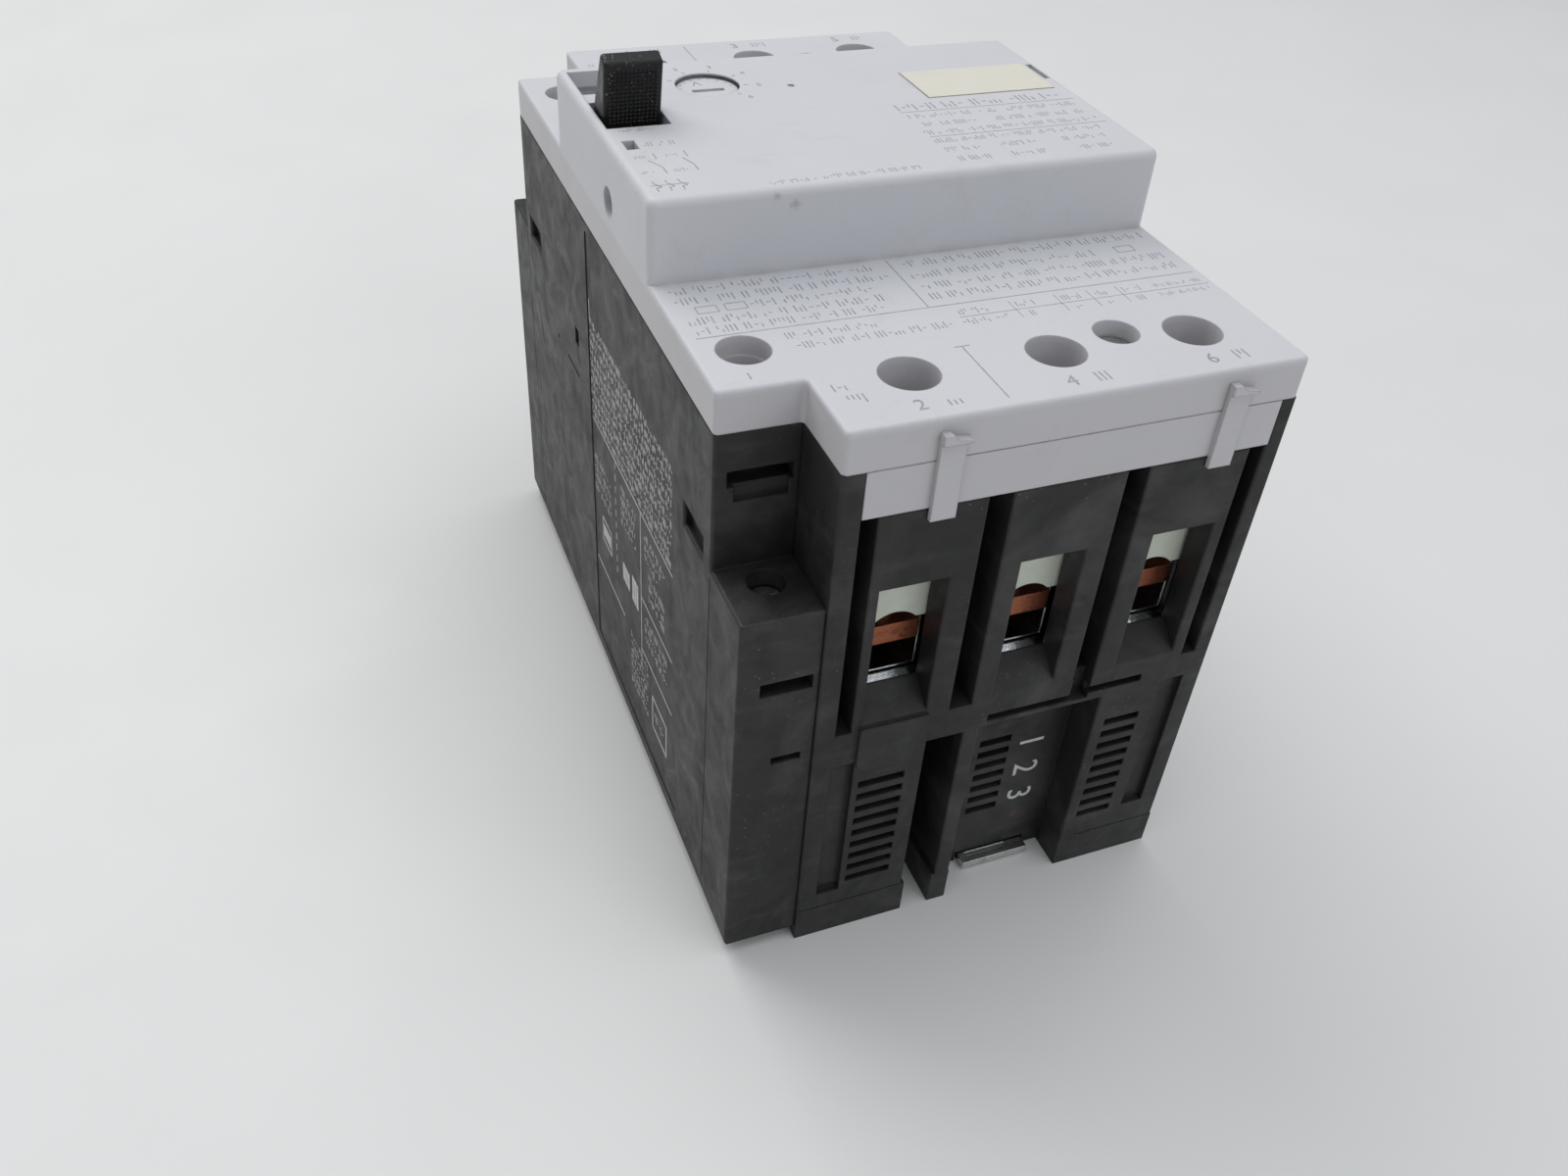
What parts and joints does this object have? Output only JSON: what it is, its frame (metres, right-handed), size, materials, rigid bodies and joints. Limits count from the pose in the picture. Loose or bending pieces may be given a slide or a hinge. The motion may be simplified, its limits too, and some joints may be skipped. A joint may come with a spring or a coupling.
{
  "type": "motor protection breaker",
  "caption": "Black moulded motor protection breaker with a stepped grey front cover, toggle, setting dial, box clamps and rail latch.",
  "frame": {"origin": "centre of the back face, in the plane of the mounting panel", "axes": "+Z out of the front face, +Y from the load terminals to the line terminals, +X across the poles away from the toggle"},
  "size_m": [0.07, 0.1224, 0.1058],
  "materials": {
    "housing_black": "moulded, finely eroded",
    "cover_grey": "moulded, satin",
    "label_cream": "printed plate, matt",
    "toggle_black": "knurled grip",
    "inner_plastic": "moulded",
    "copper": "bare copper, slightly dulled",
    "plated_steel": "zinc plated",
    "spring_steel": "drawn wire",
    "brass_plate": "bare"
  },
  "bodies": {
    "breaker_body": {"base_plate": "housing_black", "main_housing": "housing_black", "aux_housing": "housing_black", "front_cover": "cover_grey", "load_terminal_shield": "cover_grey", "line_terminal_shield": "cover_grey", "rating_label": "label_cream", "toggle_pin": "plated_steel", "mechanism_frame": "plated_steel", "magnet_yokes": "plated_steel", "arc_plates": "plated_steel", "housing_screws": "plated_steel", "test_spring": "spring_steel", "aux_terminal_plates": "brass_plate", "load_strap_1": "copper", "line_strap_1": "copper", "magnet_coil_1": "copper", "bimetal_1": "spring_steel", "contact_spring_1": "spring_steel", "load_strap_2": "copper", "line_strap_2": "copper", "magnet_coil_2": "copper", "bimetal_2": "spring_steel", "contact_spring_2": "spring_steel", "load_strap_3": "copper", "line_strap_3": "copper", "magnet_coil_3": "copper", "bimetal_3": "spring_steel", "contact_spring_3": "spring_steel"},
    "toggle": {"toggle_handle": "toggle_black", "toggle_shield": "cover_grey"},
    "drive_link": {"toggle_link": "plated_steel"},
    "contacts": {"contact_carrier": "inner_plastic", "contact_bridge_1": "copper", "contact_bridge_2": "copper", "contact_bridge_3": "copper"},
    "slider": {"trip_slider": "inner_plastic"},
    "lever": {"trip_lever": "inner_plastic"},
    "dial": {"setting_dial": "cover_grey"},
    "test_button": {"test_plunger": "toggle_black"},
    "latch": {"din_latch": "plated_steel"},
    "plunger_1": {"magnet_plunger_1": "plated_steel"},
    "load_clamp_screw_1": {"load_screw_1": "plated_steel"},
    "load_clamp_1": {"load_cage_1": "plated_steel"},
    "line_clamp_screw_1": {"line_screw_1": "plated_steel"},
    "line_clamp_1": {"line_cage_1": "plated_steel"},
    "plunger_2": {"magnet_plunger_2": "plated_steel"},
    "load_clamp_screw_2": {"load_screw_2": "plated_steel"},
    "load_clamp_2": {"load_cage_2": "plated_steel"},
    "line_clamp_screw_2": {"line_screw_2": "plated_steel"},
    "line_clamp_2": {"line_cage_2": "plated_steel"},
    "plunger_3": {"magnet_plunger_3": "plated_steel"},
    "load_clamp_screw_3": {"load_screw_3": "plated_steel"},
    "load_clamp_3": {"load_cage_3": "plated_steel"},
    "line_clamp_screw_3": {"line_screw_3": "plated_steel"},
    "line_clamp_3": {"line_cage_3": "plated_steel"},
    "aux_load_upper": {"aux_screw_load_upper": "plated_steel"},
    "aux_load_lower": {"aux_screw_load_lower": "plated_steel"},
    "aux_line_upper": {"aux_screw_line_upper": "plated_steel"},
    "aux_line_lower": {"aux_screw_line_lower": "plated_steel"}
  },
  "joints": [
    {"name": "toggle_swing", "type": "hinge", "parent": "breaker_body", "child": "toggle", "pos_m": [-0.0295, 0.0095, 0.0825], "axis": [-1, 0, 0], "range_deg": [0, 30.1]},
    {"name": "link_swing", "type": "hinge", "parent": "toggle", "child": "drive_link", "pos_m": [-0.03, -0.00076, 0.07975], "axis": [-1, 0, 0], "range_deg": [-30.1, 0]},
    {"name": "contact_lift", "type": "slide", "parent": "breaker_body", "child": "contacts", "axis": [0, 0, 1], "range_m": [0, 0.0055], "deforming": ["contact_spring_1", "contact_spring_2", "contact_spring_3"]},
    {"name": "dial_turn", "type": "hinge", "parent": "breaker_body", "child": "dial", "pos_m": [-0.0161, 0.0112, 0.095], "axis": [0, 0, 1], "range_deg": [-120, 120]},
    {"name": "test_press", "type": "slide", "parent": "breaker_body", "child": "test_button", "axis": [0, 0, -1], "range_m": [0, 0.0014], "stiffness_N_per_m": 300, "springref_m": -0.003, "deforming": ["test_spring"]},
    {"name": "slider_shift", "type": "slide", "parent": "breaker_body", "child": "slider", "axis": [1, 0, 0], "range_m": [0, 0.00231]},
    {"name": "lever_turn", "type": "hinge", "parent": "breaker_body", "child": "lever", "pos_m": [-0.0295, -0.02, 0.074], "axis": [0, -1, 0], "range_deg": [0, 20.1]},
    {"name": "latch_pull", "type": "slide", "parent": "breaker_body", "child": "latch", "axis": [0, -1, 0], "range_m": [0, 0.0032], "stiffness_N_per_m": 1500, "springref_m": -0.002},
    {"name": "plunger_strike_1", "type": "slide", "parent": "breaker_body", "child": "plunger_1", "axis": [0, 0, -1], "range_m": [0, 0.004], "stiffness_N_per_m": 60, "springref_m": -0.003},
    {"name": "load_screw_turn_1", "type": "hinge", "parent": "breaker_body", "child": "load_clamp_screw_1", "pos_m": [-0.0129, -0.0507, 0.06], "axis": [0, 0, -1], "range_deg": [0, 1985]},
    {"name": "load_clamp_lift_1", "type": "slide", "parent": "breaker_body", "child": "load_clamp_1", "axis": [0, 0, 1], "range_m": [0, 0.0044]},
    {"name": "line_screw_turn_1", "type": "hinge", "parent": "breaker_body", "child": "line_clamp_screw_1", "pos_m": [-0.0129, 0.0507, 0.06], "axis": [0, 0, -1], "range_deg": [0, 1985]},
    {"name": "line_clamp_lift_1", "type": "slide", "parent": "breaker_body", "child": "line_clamp_1", "axis": [0, 0, 1], "range_m": [0, 0.0044]},
    {"name": "plunger_strike_2", "type": "slide", "parent": "breaker_body", "child": "plunger_2", "axis": [0, 0, -1], "range_m": [0, 0.004], "stiffness_N_per_m": 60, "springref_m": -0.003},
    {"name": "load_screw_turn_2", "type": "hinge", "parent": "breaker_body", "child": "load_clamp_screw_2", "pos_m": [0.0059, -0.0507, 0.06], "axis": [0, 0, -1], "range_deg": [0, 1985]},
    {"name": "load_clamp_lift_2", "type": "slide", "parent": "breaker_body", "child": "load_clamp_2", "axis": [0, 0, 1], "range_m": [0, 0.0044]},
    {"name": "line_screw_turn_2", "type": "hinge", "parent": "breaker_body", "child": "line_clamp_screw_2", "pos_m": [0.0059, 0.0507, 0.06], "axis": [0, 0, -1], "range_deg": [0, 1985]},
    {"name": "line_clamp_lift_2", "type": "slide", "parent": "breaker_body", "child": "line_clamp_2", "axis": [0, 0, 1], "range_m": [0, 0.0044]},
    {"name": "plunger_strike_3", "type": "slide", "parent": "breaker_body", "child": "plunger_3", "axis": [0, 0, -1], "range_m": [0, 0.004], "stiffness_N_per_m": 60, "springref_m": -0.003},
    {"name": "load_screw_turn_3", "type": "hinge", "parent": "breaker_body", "child": "load_clamp_screw_3", "pos_m": [0.0247, -0.0507, 0.06], "axis": [0, 0, -1], "range_deg": [0, 1985]},
    {"name": "load_clamp_lift_3", "type": "slide", "parent": "breaker_body", "child": "load_clamp_3", "axis": [0, 0, 1], "range_m": [0, 0.0044]},
    {"name": "line_screw_turn_3", "type": "hinge", "parent": "breaker_body", "child": "line_clamp_screw_3", "pos_m": [0.0247, 0.0507, 0.06], "axis": [0, 0, -1], "range_deg": [0, 1985]},
    {"name": "line_clamp_lift_3", "type": "slide", "parent": "breaker_body", "child": "line_clamp_3", "axis": [0, 0, 1], "range_m": [0, 0.0044]},
    {"name": "aux_screw_turn_load_upper", "type": "hinge", "parent": "breaker_body", "child": "aux_load_upper", "pos_m": [-0.029, -0.041, 0.077], "axis": [0, 0, -1], "range_deg": [0, 360]},
    {"name": "aux_screw_turn_load_lower", "type": "hinge", "parent": "breaker_body", "child": "aux_load_lower", "pos_m": [-0.0293, -0.0526, 0.059], "axis": [0, 0, -1], "range_deg": [0, 360]},
    {"name": "aux_screw_turn_line_upper", "type": "hinge", "parent": "breaker_body", "child": "aux_line_upper", "pos_m": [-0.029, 0.041, 0.077], "axis": [0, 0, -1], "range_deg": [0, 360]},
    {"name": "aux_screw_turn_line_lower", "type": "hinge", "parent": "breaker_body", "child": "aux_line_lower", "pos_m": [-0.0293, 0.0526, 0.059], "axis": [0, 0, -1], "range_deg": [0, 360]}
  ],
  "couplings": [
    {"joint": "toggle_swing", "follows": "contact_lift", "rad_per_m": 95.2},
    {"joint": "link_swing", "follows": "contact_lift", "rad_per_m": -95.2},
    {"joint": "slider_shift", "follows": "test_press", "ratio": 1.6429},
    {"joint": "lever_turn", "follows": "test_press", "rad_per_m": 249.33},
    {"joint": "load_screw_turn_1", "follows": "load_clamp_lift_1", "rad_per_m": 7854},
    {"joint": "line_screw_turn_1", "follows": "line_clamp_lift_1", "rad_per_m": 7854},
    {"joint": "load_screw_turn_2", "follows": "load_clamp_lift_2", "rad_per_m": 7854},
    {"joint": "line_screw_turn_2", "follows": "line_clamp_lift_2", "rad_per_m": 7854},
    {"joint": "load_screw_turn_3", "follows": "load_clamp_lift_3", "rad_per_m": 7854},
    {"joint": "line_screw_turn_3", "follows": "line_clamp_lift_3", "rad_per_m": 7854}
  ]
}
